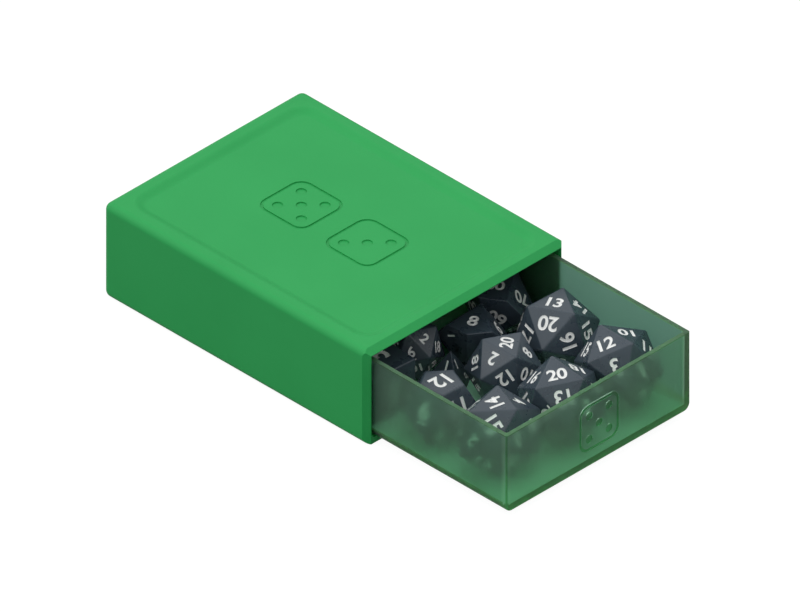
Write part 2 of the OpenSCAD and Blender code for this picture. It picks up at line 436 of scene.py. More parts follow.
        # The floor inside and the highlight lines take more of the frosted milk, as part of their painted
        # light
        haze = self.haze + self.floor_haze * shares["floor"] + self.glint_haze * shares["glint"]
        mixed = board.add("ShaderNodeMixShader", inputs={0: haze, 1: clear.outputs[0], 2: milk.outputs[0]})
        return board.surface(mixed)


@dataclass(frozen=True)
class Charcoal:
    """Dark blue-grey resin of the dice, tumbled to a soft sheen."""

    slot: str = "charcoal"
    colour: Triple = (0.042, 0.06, 0.079)
    deep: Triple = (0.036, 0.053, 0.071)
    roughness: float = 0.31
    cloud_matt: float = 0.14
    sheen: float = 0.5
    cloud: float = 3.5 * MM
    grain: float = 0.14 * MM
    grain_depth: float = 0.006 * MM
    grain_strength: float = 0.5

    def make(self) -> bpy.types.Material:
        """Returns the material."""
        board = NodeBoard("charcoal")
        cloud = board.noise(self.cloud, detail=4).rise(CLOUDY)
        grain = board.noise(self.grain)
        shader = board.add(
            "ShaderNodeBsdfPrincipled",
            inputs={
                "Base Color": board.blend(cloud, (*self.deep, 1), (*self.colour, 1)),
                "Roughness": self.roughness + self.cloud_matt * (cloud - 0.5),
                "Specular IOR Level": self.sheen,
                "Normal": board.bump(grain, self.grain_depth, self.grain_strength),
            },
        )
        return board.surface(shader)


@dataclass(frozen=True)
class NumberWhite:
    """White paint wiped into the sunk numbers."""

    colour: Triple = (0.84, 0.85, 0.84)
    thin: Triple = (0.68, 0.69, 0.7)
    roughness: float = 0.55
    grain_matt: float = 0.1
    sheen: float = 0.3
    wipe: float = 0.9 * MM
    wiped_band: Band = (0.62, 0.8)
    grain: float = 0.12 * MM
    grain_depth: float = 0.01 * MM
    grain_strength: float = 0.5

    def make(self) -> bpy.types.Material:
        """Returns the material."""
        board = NodeBoard("number_white")
        wiped = board.noise(self.wipe, detail=3).rise(self.wiped_band)
        grain = board.noise(self.grain)
        shader = board.add(
            "ShaderNodeBsdfPrincipled",
            inputs={
                "Base Color": board.blend(wiped, (*self.colour, 1), (*self.thin, 1)),
                "Roughness": self.roughness + self.grain_matt * grain,
                "Specular IOR Level": self.sheen,
                "Normal": board.bump(grain, self.grain_depth, self.grain_strength),
            },
        )
        return board.surface(shader)


class Bench:
    """Makes meshes out of bmesh operators and turns them into finished pieces."""

    @staticmethod
    def block(bm: bmesh.types.BMesh, low: Point, high: Point) -> list[bmesh.types.BMVert]:
        """Adds a block between two corners.

        Args:
            bm: The mesh that it is added to.
            low: Its lowest corner.
            high: Its highest corner.

        Returns:
            Its eight corner points.
        """
        middle = (Vector(low) + Vector(high)) / 2
        size = Vector(high) - Vector(low)
        place = Matrix.Translation(middle) @ Matrix.Diagonal((*size, 1))
        return bmesh.ops.create_cube(bm, size=1, matrix=place)["verts"]

    @staticmethod
    def round_edges(
        bm: bmesh.types.BMesh, edges: list[bmesh.types.BMEdge], radius: float, segments: int
    ) -> None:
        """Rounds edges, or bevels them flat with one segment.

        Args:
            bm: Their mesh.
            edges: The edges.
            radius: Distance that the bevel takes from each edge.
            segments: Number of strips across the bevel.
        """
        bmesh.ops.bevel(
            bm,
            geom=edges,
            offset=radius,
            offset_type="OFFSET",
            segments=segments,
            profile=0.5,
            material=-1,
            affect="EDGES",
            clamp_overlap=True,
        )

    @staticmethod
    def sheet(
        bm: bmesh.types.BMesh, long: float, wide: float, corner: float, segments: int, place: Matrix
    ) -> bmesh.types.BMFace:
        """Adds a flat rectangle with rounded corners.

        Args:
            bm: The mesh that it is added to.
            long: Its size along X.
            wide: Its size along Y.
            corner: Radius of its corners.
            segments: Number of edges round each corner.
            place: Where its own XY plane lies.

        Returns:
            Its one face.
        """
        before = set(bm.faces)
        shape = place @ Matrix.Diagonal((long, wide, 1, 1))
        points = bmesh.ops.create_grid(bm, x_segments=1, y_segments=1, size=0.5, matrix=shape)["verts"]
        bmesh.ops.bevel(
            bm,
            geom=points,
            offset=corner,
            offset_type="OFFSET",
            segments=segments,
            profile=0.5,
            material=-1,
            affect="VERTICES",
        )
        return next(f for f in bm.faces if f not in before and len(f.verts) > 4)

    @staticmethod
    def raise_up(bm: bmesh.types.BMesh, faces: list[bmesh.types.BMFace], way: Vector) -> None:
        """Gives flat faces a thickness, so that they close into a solid.

        Args:
            bm: Their mesh.
            faces: The faces.
            way: Direction and amount of the thickness.
        """
        made = bmesh.ops.extrude_face_region(bm, geom=faces, use_keep_orig=True)["geom"]
        bmesh.ops.translate(bm, vec=way, verts=[v for v in made if isinstance(v, bmesh.types.BMVert)])

    @staticmethod
    def rod(bm: bmesh.types.BMesh, radius: float, length: float, segments: int, place: Matrix) -> None:
        """Adds a closed round rod.

        Args:
            bm: The mesh that it is added to.
            radius: Its radius.
            length: Its length.
            segments: Number of its sides.
            place: Where its middle lies, with its length along Z.
        """
        bmesh.ops.create_cone(
            bm, cap_ends=True, segments=segments, radius1=radius, radius2=radius, depth=length, matrix=place
        )

    @staticmethod
    def runs_along_x(edge: bmesh.types.BMEdge) -> bool:
        """Returns whether an edge's ends differ in X."""
        return abs(edge.verts[0].co.x - edge.verts[1].co.x) > SNAP

    @staticmethod
    def mesh_object(
        name: str, bm: bmesh.types.BMesh, materials: list[bpy.types.Material] | None = None
    ) -> bpy.types.Object:
        """Turns a closed bmesh into an object whose faces point outwards.

        Args:
            name: The object's name.
            bm: Its mesh, which is freed.
            materials: Its finishes, by material number.

        Returns:
            The object, at the origin.
        """
        bmesh.ops.remove_doubles(bm, verts=bm.verts, dist=WELD)
        bmesh.ops.recalc_face_normals(bm, faces=bm.faces)
        mesh = bpy.data.meshes.new(name)
        bm.to_mesh(mesh)
        bm.free()
        for material in materials or []:
            mesh.materials.append(material)
        made = bpy.data.objects.new(name, mesh)
        bpy.context.scene.collection.objects.link(made)
        return made

    @staticmethod
    def carve(body: bpy.types.Object, tool: bpy.types.Object, operation: str = "DIFFERENCE") -> None:
        """Cuts a tool out of a body, or joins it on, and removes the tool.

        Args:
            body: The object that is changed.
            tool: The closed shape that is cut out or joined on.
            operation: DIFFERENCE or UNION.
        """
        cut = body.modifiers.new("cut", "BOOLEAN")
        cut.operation = operation
        cut.solver = "EXACT"
        cut.use_self = True
        cut.object = tool
        bpy.context.view_layer.update()
        shaped = body.evaluated_get(bpy.context.evaluated_depsgraph_get())
        mesh = bpy.data.meshes.new_from_object(shaped)
        body.modifiers.clear()
        old, name = body.data, body.data.name
        body.data = mesh
        bpy.data.meshes.remove(old)
        mesh.name = name
        tool_mesh = tool.data
        bpy.data.objects.remove(tool)
        bpy.data.meshes.remove(tool_mesh)

    @staticmethod
    def shade(piece: bpy.types.Object, angle: float = 32) -> None:
        """Smooths the rounded parts of a piece and keeps its sharp edges and flat faces.

        Args:
            piece: The finished piece.
            angle: Smallest angle in degrees between faces that stays a sharp edge.
        """
        bm = bmesh.new()
        bm.from_mesh(piece.data)
        bmesh.ops.remove_doubles(bm, verts=bm.verts, dist=WELD)
        limit = math.radians(angle)
        for face in bm.faces:
            face.smooth = True
        for edge in bm.edges:
            edge.smooth = len(edge.link_faces) == 2 and edge.calc_face_angle(0) < limit
        bm.to_mesh(piece.data)
        bm.free()
        even = piece.modifiers.new("even_normals", "WEIGHTED_NORMAL")
        even.keep_sharp = True


PIP_PLACES: dict[int, list[tuple[int, int]]] = {
    3: [(-1, -1), (0, 0), (1, 1)],
    5: [(-1, -1), (-1, 1), (0, 0), (1, -1), (1, 1)],
}


@dataclass(frozen=True)
class DieMark:
    """The plain pattern of a die's face, sunk as an outline and pips, that decorates the chest."""

    size: float
    pips: int
    line: float = 0.9 * MM
    depth: float = 0.35 * MM
    corner_share: float = 0.22
    pitch_share: float = 0.25
    pip_share: float = 0.085

    def tool(self, place: Matrix) -> bpy.types.Object:
        """Makes the shape that cuts the mark.

        Args:
            place: Matrix from the mark's own plane, where Z points out of the surface.

        Returns:
            The cutting shape.
        """
        bm = bmesh.new()
        rise = self.depth + OVERRUN
        low = Matrix.Translation((0, 0, -self.depth))
        corner = self.corner_share * self.size
        outline = Bench.sheet(bm, self.size, self.size, corner, segments=10, place=low)
        bmesh.ops.inset_region(
            bm, faces=[outline], thickness=self.line, use_even_offset=True, use_boundary=True
        )
        inner = min(bm.faces, key=lambda f: (f.calc_center_median().xy.length, -f.calc_area()))
        bmesh.ops.delete(bm, geom=[inner], context="FACES_ONLY")
        Bench.raise_up(bm, list(bm.faces), Vector((0, 0, rise)))
        pitch = self.pitch_share * self.size
        for x, y in PIP_PLACES[self.pips]:
            spot = Matrix.Translation((pitch * x, pitch * y, rise / 2 - self.depth))
            Bench.rod(bm, self.pip_share * self.size, rise, segments=28, place=spot)
        bmesh.ops.transform(bm, matrix=place, verts=bm.verts)
        return Bench.mesh_object("mark_tool", bm)


@dataclass
class Sleeve:
    """Opaque one-piece sleeve, closed at the back, with a sunken top panel."""

    length: float = 100 * MM
    width: float = 75.6 * MM
    height: float = 30.6 * MM
    wall: float = 1.9 * MM
    edge_round: float = 2.2 * MM
    mouth_bevel: float = 1.7 * MM
    lip_round: float = 0.25 * MM
    panel_rim: float = 1.8 * MM
    panel_slope: float = 3.4 * MM
    panel_depth: float = 1 * MM
    panel_corner: float = 3 * MM
    panel_steps: int = 9
    porch: float = 3.5 * MM
    bay_corner: float = 1.6 * MM
    guide_run: float = 92.1 * MM
    guide_thickness: float = 0.426 * MM
    guide_height: float = 3 * MM
    push_hole: float = 18 * MM
    mark_gap: float = 7 * MM
    marks: tuple[DieMark, DieMark] = (DieMark(18 * MM, 5), DieMark(18 * MM, 3))
    finish: MouldedGreen = MouldedGreen()

    def shell(self) -> bpy.types.Object:
        """Returns the outer block, rounded along its length and at the back and bevelled at the mouth."""
        bm = bmesh.new()
        mouth, side = self.length / 2, self.width / 2
        Bench.block(bm, (-mouth, -side, 0), (mouth, side, self.height))
        soft = [e for e in bm.edges if not all(v.co.x > 0 for v in e.verts)]
        Bench.round_edges(bm, soft, self.edge_round, segments=10)
        lip = [e for e in bm.edges if all(v.co.x > mouth - SNAP and v.co.z < SNAP for v in e.verts)]
        Bench.round_edges(bm, lip, self.lip_round, segments=3)
        piece = Bench.mesh_object("sleeve_body", bm, [self.finish.make()])
        reach = self.mouth_bevel / math.sqrt(2)
        bars = (
            ((mouth, 0, self.height), (reach, self.width, reach), "Y"),
            ((mouth, side, self.height / 2), (reach, reach, self.height), "Z"),
            ((mouth, -side, self.height / 2), (reach, reach, self.height), "Z"),
        )
        for place, size, axis in bars:
            bm = bmesh.new()
            Bench.block(bm, tuple(-v for v in size), size)
            turn = Matrix.Translation(place) @ Matrix.Rotation(math.pi / 4, 4, axis)
            bmesh.ops.transform(bm, matrix=turn, verts=bm.verts)
            Bench.carve(piece, Bench.mesh_object("bevel_tool", bm))
        return piece

    def bay_tool(self) -> bpy.types.Object:
        """Returns the bay's shape, with the higher porch behind the mouth and a step for each guide rib."""
        back, past_mouth = self.wall - self.length / 2, self.length / 2 + OVERRUN
        side = self.width / 2 - self.wall
        ceiling = self.height - self.panel_depth - self.wall
        bm = bmesh.new()
        Bench.block(bm, (back, -side, self.wall), (past_mouth, side, ceiling))
        low = [e for e in bm.edges if all(v.co.z < self.wall + SNAP for v in e.verts)]
        Bench.round_edges(bm, [e for e in low if Bench.runs_along_x(e)], self.bay_corner, segments=8)
        bay = Bench.mesh_object("bay_tool", bm)
        bm = bmesh.new()
        porch = (self.length / 2 - self.porch, -side, ceiling - OVERRUN)
        Bench.block(bm, porch, (past_mouth, side, self.height - self.wall))
        Bench.carve(bay, Bench.mesh_object("porch_tool", bm), "UNION")
        for end in (-1, 1):
            bm = bmesh.new()
            low_y, high_y = sorted((end * (side + OVERRUN), end * (side - self.guide_thickness)))
            Bench.block(
                bm,
                (back - OVERRUN, low_y, self.wall - OVERRUN),
                (back + self.guide_run, high_y, self.wall + self.guide_height),
            )
            Bench.carve(bay, Bench.mesh_object("guide_tool", bm))
        return bay

    def panel_tool(self) -> bpy.types.Object:
        """Returns the sunken panel's shape, whose border eases in and out of its slope."""
        bm = bmesh.new()
        back = -self.length / 2 + self.edge_round + self.panel_rim
        front = self.length / 2 - self.porch
        wide = self.width - 2 * (self.edge_round + self.panel_rim)
        place = Matrix.Translation(((back + front) / 2, 0, self.height + OVERRUN))
        corner = self.panel_corner + self.panel_slope
        sheet = Bench.sheet(bm, front - back, wide, corner, segments=14, place=place)
        kept = bmesh.ops.extrude_face_region(bm, geom=[sheet], use_keep_orig=True)["geom"]
        bmesh.ops.translate(
            bm, vec=(0, 0, -OVERRUN), verts=[v for v in kept if isinstance(v, bmesh.types.BMVert)]
        )
        floor = next(f for f in kept if isinstance(f, bmesh.types.BMFace))
        steps = self.panel_steps
        depth = [self.panel_depth * (1 - math.cos(math.pi * i / steps)) / 2 for i in range(steps + 1)]
        for above, below in zip(depth, depth[1:]):
            bmesh.ops.inset_region(
                bm, faces=[floor], thickness=self.panel_slope / steps, use_even_offset=True, use_boundary=True
            )
            bmesh.ops.translate(bm, vec=(0, 0, above - below), verts=floor.verts)
        return Bench.mesh_object("panel_tool", bm)

    def hole_tool(self) -> bpy.types.Object:
        """Returns the rod that cuts the thumb hole through the closed back."""
        bm = bmesh.new()
        along = Matrix.Rotation(math.pi / 2, 4, "Y")
        place = Matrix.Translation((-self.length / 2, 0, self.height / 2)) @ along
        Bench.rod(bm, self.push_hole / 2, 2 * (self.wall + OVERRUN), segments=72, place=place)
        return Bench.mesh_object("hole_tool", bm)

    def build(self) -> bpy.types.Object:
        """Makes the sleeve and gives it to its body.

        Returns:
            The finished piece.
        """
        piece = self.shell()
        Bench.carve(piece, self.bay_tool())
        Bench.carve(piece, self.panel_tool())
        Bench.carve(piece, self.hole_tool())
        for end, mark in zip((-1, 1), self.marks):
            shift = end * (mark.size + self.mark_gap) / 2
            place = Matrix.Translation((shift, 0, self.height - self.panel_depth))
            Bench.carve(piece, mark.tool(place))
        Bench.shade(piece)
        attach(piece, "sleeve")
        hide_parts("sleeve")
        LOG.info("%s: %d faces", piece.name, len(piece.data.polygons))
        return piece


@dataclass
class Drawer:
    """Frosted see-through drawer, one moulding with thin drafted walls."""

    front: float = 100.4 * MM
    length: float = 97.6 * MM
    width: float = 69.6 * MM
    middle: float = -0.374 * MM
    low: float = 1.9 * MM
    height: float = 25.2 * MM
    rim: float = 1.2 * MM
    foot: float = 1.4 * MM
    floor: float = 1.4 * MM
    corner: float = 0.45 * MM
    keel: float = 2.2 * MM
    inner_round: float = 0.5 * MM
    mark: DieMark = DieMark(15 * MM, 5)
    finish: FrostedGreen = FrostedGreen()

    def ends(self) -> tuple[Vector, Vector]:
        """Returns the drawer's lowest and highest corner."""
        low = Vector((self.front - self.length, self.middle - self.width / 2, self.low))
        return low, low + Vector((self.length, self.width, self.height))

    def block(self) -> bpy.types.Object:
        """Returns the outer block with its long lower edges, its upright edges and its foot rounded."""
        low, high = self.ends()
        bm = bmesh.new()
        Bench.block(bm, low, high)
        bottom = [e for e in bm.edges if all(v.co.z < low.z + SNAP for v in e.verts)]
        Bench.round_edges(bm, [e for e in bottom if Bench.runs_along_x(e)], self.keel, segments=12)
        crossing = [e for e in bm.edges if not Bench.runs_along_x(e)]
        below_rim = [e for e in crossing if not all(v.co.z > high.z - SNAP for v in e.verts)]
        Bench.round_edges(bm, below_rim, self.corner, segments=4)
        return Bench.mesh_object("drawer_body", bm, [self.finish.make(low, high)])

    def hollow_tool(self) -> bpy.types.Object:
        """Returns the drawer's hollow, which narrows towards the floor."""
        low, high = self.ends()
        bm = bmesh.new()
        Bench.block(
            bm,
            (low.x + self.rim, low.y + self.rim, low.z + self.floor),
            (high.x - self.rim, high.y - self.rim, high.z + OVERRUN),
        )
        middle = (low + high) / 2
        taper = self.foot - self.rim
        for corner in [v for v in bm.verts if v.co.z < high.z]:
            corner.co.x -= math.copysign(taper, corner.co.x - middle.x)
            corner.co.y -= math.copysign(taper, corner.co.y - middle.y)
        inside = [e for e in bm.edges if not all(v.co.z > high.z for v in e.verts)]
        Bench.round_edges(bm, inside, self.inner_round, segments=4)
        return Bench.mesh_object("hollow_tool", bm)

    def build(self) -> bpy.types.Object:
        """Makes the drawer and gives it to its body.

        Returns:
            The finished piece.
        """
        piece = self.block()
        Bench.carve(piece, self.hollow_tool())
        outward = Matrix.Rotation(math.pi / 2, 4, "Z") @ Matrix.Rotation(math.pi / 2, 4, "X")
        place = Matrix.Translation((self.front, 0, self.low + self.height / 2)) @ outward
        Bench.carve(piece, self.mark.tool(place))
        Bench.shade(piece)
        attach(piece, "drawer")
        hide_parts("drawer")
        LOG.info("%s: %d faces", piece.name, len(piece.data.polygons))
        return piece


class Shape(Enum):
    """The kinds of dice in the set, by their number of faces."""

    D4 = 4
    D6 = 6
    D10 = 10
    D12 = 12
    D20 = 20


@dataclass(frozen=True)
class FaceRow:
    """A ring of faces at one tilt from a die's own axis, with all angles in degrees."""

    letter: str
    tilt: float
    first: float
    count: int
    spin: float

    def normals(self) -> dict[str, Vector]:
        """Returns the outward direction of each face, by its name."""
        found = {}
        for i in range(self.count):
            heading = math.radians(self.first + 360 / self.count * i)
            level, rise = math.sin(math.radians(self.tilt)), math.cos(math.radians(self.tilt))
            name = f"{self.letter}{i}" if self.count > 1 else self.letter
            found[name] = Vector((level * math.cos(heading), level * math.sin(heading), rise))
        return found


# Tilts of faces from each die's own axis, in degrees: a twenty-sided die has caps and a belt
CAP_TILT = math.degrees(math.acos(math.sqrt((5 + 2 * math.sqrt(5)) / 15)))
BELT_TILT = math.degrees(math.acos(math.sqrt((5 - 2 * math.sqrt(5)) / 15)))
D10_TILT = 45.0
D12_TILT = math.degrees(math.atan(2))
D4_TILT = math.degrees(math.acos(1 / 3))

FACE_ROWS: dict[Shape, list[FaceRow]] = {
    Shape.D4: [FaceRow("base", 180, 0, 1, 0), FaceRow("side", D4_TILT, 60, 3, 0)],
    Shape.D6: [FaceRow("top", 0, 0, 1, 0), FaceRow("side", 90, 0, 4, 0), FaceRow("base", 180, 0, 1, 0)],
    Shape.D10: [FaceRow("u", D10_TILT, 0, 5, 0), FaceRow("l", 180 - D10_TILT, 180, 5, 180)],
    Shape.D12: [
        FaceRow("top", 0, 0, 1, 0),
        FaceRow("u", D12_TILT, 0, 5, 0),
        FaceRow("l", 180 - D12_TILT, 180, 5, 180),
        FaceRow("base", 180, 0, 1, 0),
    ],
    Shape.D20: [
        FaceRow("c", CAP_TILT, 36, 5, 0),
        FaceRow("u", BELT_TILT, 36, 5, 180),
        FaceRow("l", 180 - BELT_TILT, 216, 5, 0),
        FaceRow("b", 180 - CAP_TILT, 216, 5, 180),
    ],
}


@dataclass(frozen=True)
class Numbering:
    """How the faces of one kind of die are numbered.

    Opposite faces hold labels whose places in the list add up to total, or any labels if it is 0.
    The digit is the height of a number as a share of the die's size.
    """

    labels: list[str]
    total: int
    digit: float
    rounding: float

    def spread(self, rows: list[FaceRow], known: dict[str, Label]) -> dict[str, Label]:
        """Gives every face a number, so that opposite faces add up to the total where they can.

        Args:
            rows: The die's rings of faces.
            known: The numbers that show, with their turns.

        Returns:
            The number and its turn in degrees, by the face's name.
        """
        ways = {name: way for row in rows for name, way in row.normals().items()}
        turns = {name: row.spin for row in rows for name in row.normals()}
        given = dict(known)
        free = [label for label in self.labels if label not in {text for text, _ in known.values()}]
        facing = {a: next((b for b in ways if (ways[a] + ways[b]).length < NEARLY), a) for a in ways}
        for name in [*known, *ways]:
            if name not in given:
                given[name] = (free.pop(0), turns[name])
            opposite = facing[name]
            mirror = self.labels[self.total - self.labels.index(given[name][0])] if self.total else ""
            if opposite not in given and mirror in free:
                free.remove(mirror)
                given[opposite] = (mirror, turns[opposite])
        return given


NUMBERINGS: dict[Shape, Numbering] = {
    Shape.D4: Numbering([str(n) for n in range(1, 5)], total=0, digit=0.2, rounding=0.294 * MM),
    Shape.D6: Numbering([str(n) for n in range(1, 7)], total=5, digit=0.5, rounding=0.385 * MM),
    Shape.D10: Numbering([str(n) for n in range(10)], total=9, digit=0.33, rounding=0.28 * MM),
    Shape.D12: Numbering([str(n) for n in range(1, 13)], total=11, digit=0.3, rounding=0.525 * MM),
    Shape.D20: Numbering([str(n) for n in range(1, 21)], total=19, digit=0.215, rounding=0.294 * MM),
}
TENS = Numbering([f"{n}0" for n in range(10)], total=9, digit=0.28, rounding=0.28 * MM)
# The cube that a die is cut from, as a share of the die's size
STOCK_SHARE = 3
# Places on a four-sided die as shares of its edge: its faces from its middle, its numbers on a face
D4_FACE_SHARE = math.sqrt(2 / 3) / 4
D4_NUMBER_SHARE = 0.27


@dataclass(frozen=True)
class Spot:
    """Where one number stands on a die."""

    text: str
    middle: Vector
    up: Vector
    outward: Vector


@dataclass
class Die:
    """One die of the set, with sunk white numbers.

    The size is the distance between opposite faces, or the edge of a four-sided die.
    """

    node: str
    shape: Shape
    size: float
    turn: Triple
    known: dict[str, Label] = field(default_factory=dict)
    numbering: Numbering | None = None
    number_depth: float = 0.22 * MM

    def rule(self) -> Numbering:
        """Returns how this die is numbered."""
        return self.numbering or NUMBERINGS[self.shape]

    def blank(self, normals: dict[str, Vector]) -> tuple[bmesh.types.BMesh, dict[str, Vector]]:
        """Cuts the die's plain shape from a cube.

        Args:
            normals: Outward direction of each face.

        Returns:
            The mesh, centred and unturned, and the middle of each face.
        """
        bm = bmesh.new()
        bmesh.ops.create_cube(bm, size=STOCK_SHARE * self.size)
        reach = self.size * (D4_FACE_SHARE if self.shape is Shape.D4 else 1 / 2)
        for way in normals.values():
            whole = [*bm.verts, *bm.edges, *bm.faces]
            cut = bmesh.ops.bisect_plane(
                bm, geom=whole, plane_co=way * reach, plane_no=way, clear_outer=True
            )
            rim = [e for e in cut["geom_cut"] if isinstance(e, bmesh.types.BMEdge)]
            bmesh.ops.contextual_create(bm, geom=rim)
            bmesh.ops.remove_doubles(bm, verts=bm.verts, dist=SNAP)
        bm.normal_update()
        middles = {
            name: max(bm.faces, key=lambda f: f.normal.dot(way)).calc_center_median_weighted()
            for name, way in normals.items()
        }
        return bm, middles

    def corner_spots(self, normals: dict[str, Vector], middles: dict[str, Vector]) -> list[Spot]:
        """Works out where the numbers of a four-sided die stand, three to a face.

        Args:
            normals: Outward direction of each face.
            middles: Middle of each face.

        Returns:
            The place of each number.
        """
        found = []
        labels = dict(zip(normals, self.rule().labels))
        for name, way in normals.items():
            for other in (n for n in normals if n != name):
                away = -normals[other]
                up = (away - way * away.dot(way)).normalized()
                middle = middles[name] + up * D4_NUMBER_SHARE * self.size
                found.append(Spot(labels[other], middle, up, way))
        return found

    def face_spots(self, normals: dict[str, Vector], middles: dict[str, Vector]) -> list[Spot]:
        """Works out where the numbers of any other die stand, one to a face.

        Args:
            normals: Outward direction of each face.
            middles: Middle of each face.

        Returns:
            The place of each number.
        """
        found = []
        for name, (text, spin) in self.rule().spread(FACE_ROWS[self.shape], self.known).items():
            way = normals[name]
            axis = Vector((0, 0, 1)) if abs(way.z) < 1 - NEARLY else Vector((1, 0, 0))
            level = (axis - way * way.dot(axis)).normalized()
            up = Matrix.Rotation(math.radians(-spin), 3, way) @ level
            found.append(Spot(text, middles[name], up, way))
        return found

    def numbers(self, normals: dict[str, Vector], middles: dict[str, Vector]) -> bmesh.types.BMesh:
        """Makes the shapes that sink the numbers into the faces.

        Args:
            normals: Outward direction of each face.
            middles: Middle of each face.

        Returns:
            Their mesh, in the unturned die's frame.
        """
        tools = bmesh.new()
        spots = self.corner_spots if self.shape is Shape.D4 else self.face_spots
        for spot in spots(normals, middles):
            side = spot.up.cross(spot.outward)
            place = Matrix((side, spot.up, spot.outward)).transposed().to_4x4()
            place.translation = spot.middle
            Glyphs.add(tools, spot.text, self.rule().digit * self.size, self.number_depth, place)
        for face in tools.faces:
            face.material_index = 1
        return tools

    def place(self, bm: bmesh.types.BMesh) -> Matrix:
        """Works out where the die lies, so that its box has the same middle as its CAD node's.

        Args:
            bm: Its plain shape with sharp edges.

        Returns:
            The matrix from the unturned die's frame.
        """
        turn = Euler([math.radians(a) for a in self.turn], "XYZ").to_matrix().to_4x4()
        corners = [turn @ v.co for v in bm.verts]
        own_middle = Vector([(min(c) + max(c)) / 2 for c in zip(*corners)])
        low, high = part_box(self.node)
        return Matrix.Translation((low + high) / 2 - own_middle) @ turn

    def build(self, materials: list[bpy.types.Material]) -> bpy.types.Object:
        """Makes the die and lets it ride in the drawer.

        Args:
            materials: The finishes of its faces and of its numbers.

        Returns:
            The finished piece.
        """
        normals = {n: way for row in FACE_ROWS[self.shape] for n, way in row.normals().items()}
        bm, middles = self.blank(normals)
        place = self.place(bm)
        Bench.round_edges(bm, list(bm.edges), self.rule().rounding, segments=3)
        tools = self.numbers(normals, middles)
        for made in (bm, tools):
            bmesh.ops.transform(made, matrix=place, verts=made.verts)
        piece = Bench.mesh_object(f"{self.node}_die", bm, materials)
        Bench.carve(piece, Bench.mesh_object("number_tool", tools, materials))
        Bench.shade(piece, angle=40)
        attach(piece, "drawer")
        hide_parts(self.node)
        LOG.info("%s: %d faces", piece.name, len(piece.data.polygons))
        return piece


class Glyphs:
    """Closed shapes of plain numbers, made once for each text and measured in digit heights."""

    made: dict[str, bpy.types.Mesh] = {}
    BOLDNESS: float = 0.026
    SPACING: float = 0.96
    WIDEST: dict[int, float] = {1: 0.62, 2: 1.28}
    UNDERLINED: tuple[str, ...] = ("6", "9")
    BAR: tuple[Triple, Triple] = ((-0.3, -0.76, -1), (0.3, -0.64, 1))
    POINT_WELD: float = 1e-5

    @classmethod
    def typeset(cls, text: str) -> bpy.types.Mesh:
        """Sets a text in Blender's own plain font.

        Args:
            text: The number.

        Returns:
            Its mesh, in the font's own size, from z = -1 to z = 1.
        """
        curve = bpy.data.curves.new("number", "FONT")
        curve.body = text
        curve.size = 1
        curve.resolution_u = 4
        curve.offset = cls.BOLDNESS
        curve.extrude = 1
        curve.space_character = cls.SPACING
        item = bpy.data.objects.new("number", curve)
        bpy.context.scene.collection.objects.link(item)
        bpy.context.view_layer.update()
        mesh = bpy.data.meshes.new_from_object(item)
        bpy.data.objects.remove(item)
        bpy.data.curves.remove(curve)
        return mesh

    @classmethod
    def outline(cls, text: str) -> bpy.types.Mesh:
        """Brings a text to one unit of height, centred, and underlines a lone six or nine.

        Args:
            text: The number.

        Returns:
            Its closed mesh, from z = -1 to z = 1.
        """
        if text not in cls.made:
            mesh = cls.typeset(text)
            bm = bmesh.new()
            bm.from_mesh(mesh)
            bmesh.ops.remove_doubles(bm, verts=bm.verts, dist=cls.POINT_WELD)
            xs, ys, _ = zip(*(v.co for v in bm.verts))
            wide, tall = max(xs) - min(xs), max(ys) - min(ys)
            narrow = min(1.0, cls.WIDEST[len(text)] * tall / wide)
            middle = Vector(((max(xs) + min(xs)) / 2, (max(ys) + min(ys)) / 2, 0))
            bmesh.ops.translate(bm, vec=-middle, verts=bm.verts)
            bmesh.ops.scale(bm, vec=(narrow / tall, 1 / tall, 1), verts=bm.verts)
            if text in cls.UNDERLINED:
                Bench.block(bm, *cls.BAR)
            bm.to_mesh(mesh)
            bm.free()
            cls.made[text] = mesh
        return cls.made[text]

    @classmethod
    def add(cls, bm: bmesh.types.BMesh, text: str, height: float, depth: float, place: Matrix) -> None:
        """Adds the cutting shape of one number.

        Args:
            bm: The mesh that it is added to.
            text: The number.
            height: Height of its digits.
            depth: Depth that it is sunk.
            place: Matrix from the number's own plane.
        """
        before = len(bm.verts)
        bm.from_mesh(cls.outline(text))
        bm.verts.ensure_lookup_table()
        fresh = bm.verts[before:]
        bmesh.ops.transform(bm, matrix=place @ Matrix.Diagonal((height, height, depth, 1)), verts=fresh)


